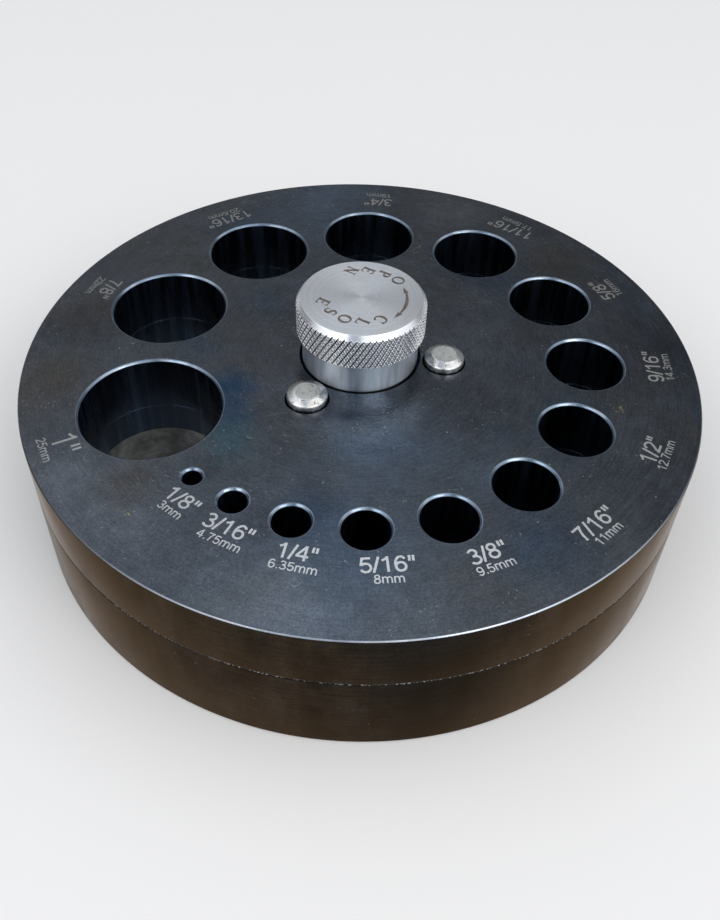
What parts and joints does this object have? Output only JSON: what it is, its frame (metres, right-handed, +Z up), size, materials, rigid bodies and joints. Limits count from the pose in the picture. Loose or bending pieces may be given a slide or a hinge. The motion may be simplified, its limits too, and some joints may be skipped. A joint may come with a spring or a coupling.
{
  "type": "disc cutter",
  "caption": "Round two-plate disc cutter: a guide plate over a die plate with a ring of graded punch bores, guide pins and a knurled centre knob that opens and clamps the plates.",
  "frame": {"origin": "centre of the foot face, on the plates' common axis", "axes": "+Z up along the knob's axis, -Y towards the user, +X to the user's right"},
  "size_m": [0.127, 0.127, 0.043],
  "materials": {
    "blued_steel": "ground, black oxide, satin",
    "turned_steel": "fine turned, diamond knurled",
    "screw_steel": "bright turned",
    "pin_steel": "ground, slightly worn",
    "spring_steel": "drawn wire",
    "black_steel": "black oxide",
    "bronze": "turned bearing bronze"
  },
  "bodies": {
    "base": {"bottom_die_plate": "blued_steel", "guide_pin_1": "pin_steel", "guide_pin_2": "pin_steel", "guide_pin_3": "pin_steel", "lift_spring_1": "spring_steel", "lift_spring_2": "spring_steel", "lift_spring_3": "spring_steel", "lead_nut": "bronze", "nut_screw_1": "black_steel", "nut_screw_2": "black_steel", "nut_screw_3": "black_steel"},
    "guide_plate": {"top_guide_plate": "blued_steel", "thrust_washer_bronze": "bronze"},
    "knob": {"clamp_knob": "turned_steel", "clamp_screw": "screw_steel", "knob_cross_pin": "pin_steel", "thrust_washer_steel": "pin_steel", "screw_stop_ring": "black_steel"}
  },
  "joints": [
    {"name": "plate_lift", "type": "slide", "parent": "base", "child": "guide_plate", "axis": [0, 0, 1], "range_m": [0, 0.003], "deforming": ["lift_spring_1", "lift_spring_2", "lift_spring_3"]},
    {"name": "knob_turn", "type": "hinge", "parent": "guide_plate", "child": "knob", "pos_m": [0, 0, 0.0336], "axis": [0, 0, 1], "range_deg": [0, 180]}
  ],
  "couplings": [
    {"joint": "knob_turn", "follows": "plate_lift", "rad_per_m": 1047.2}
  ]
}
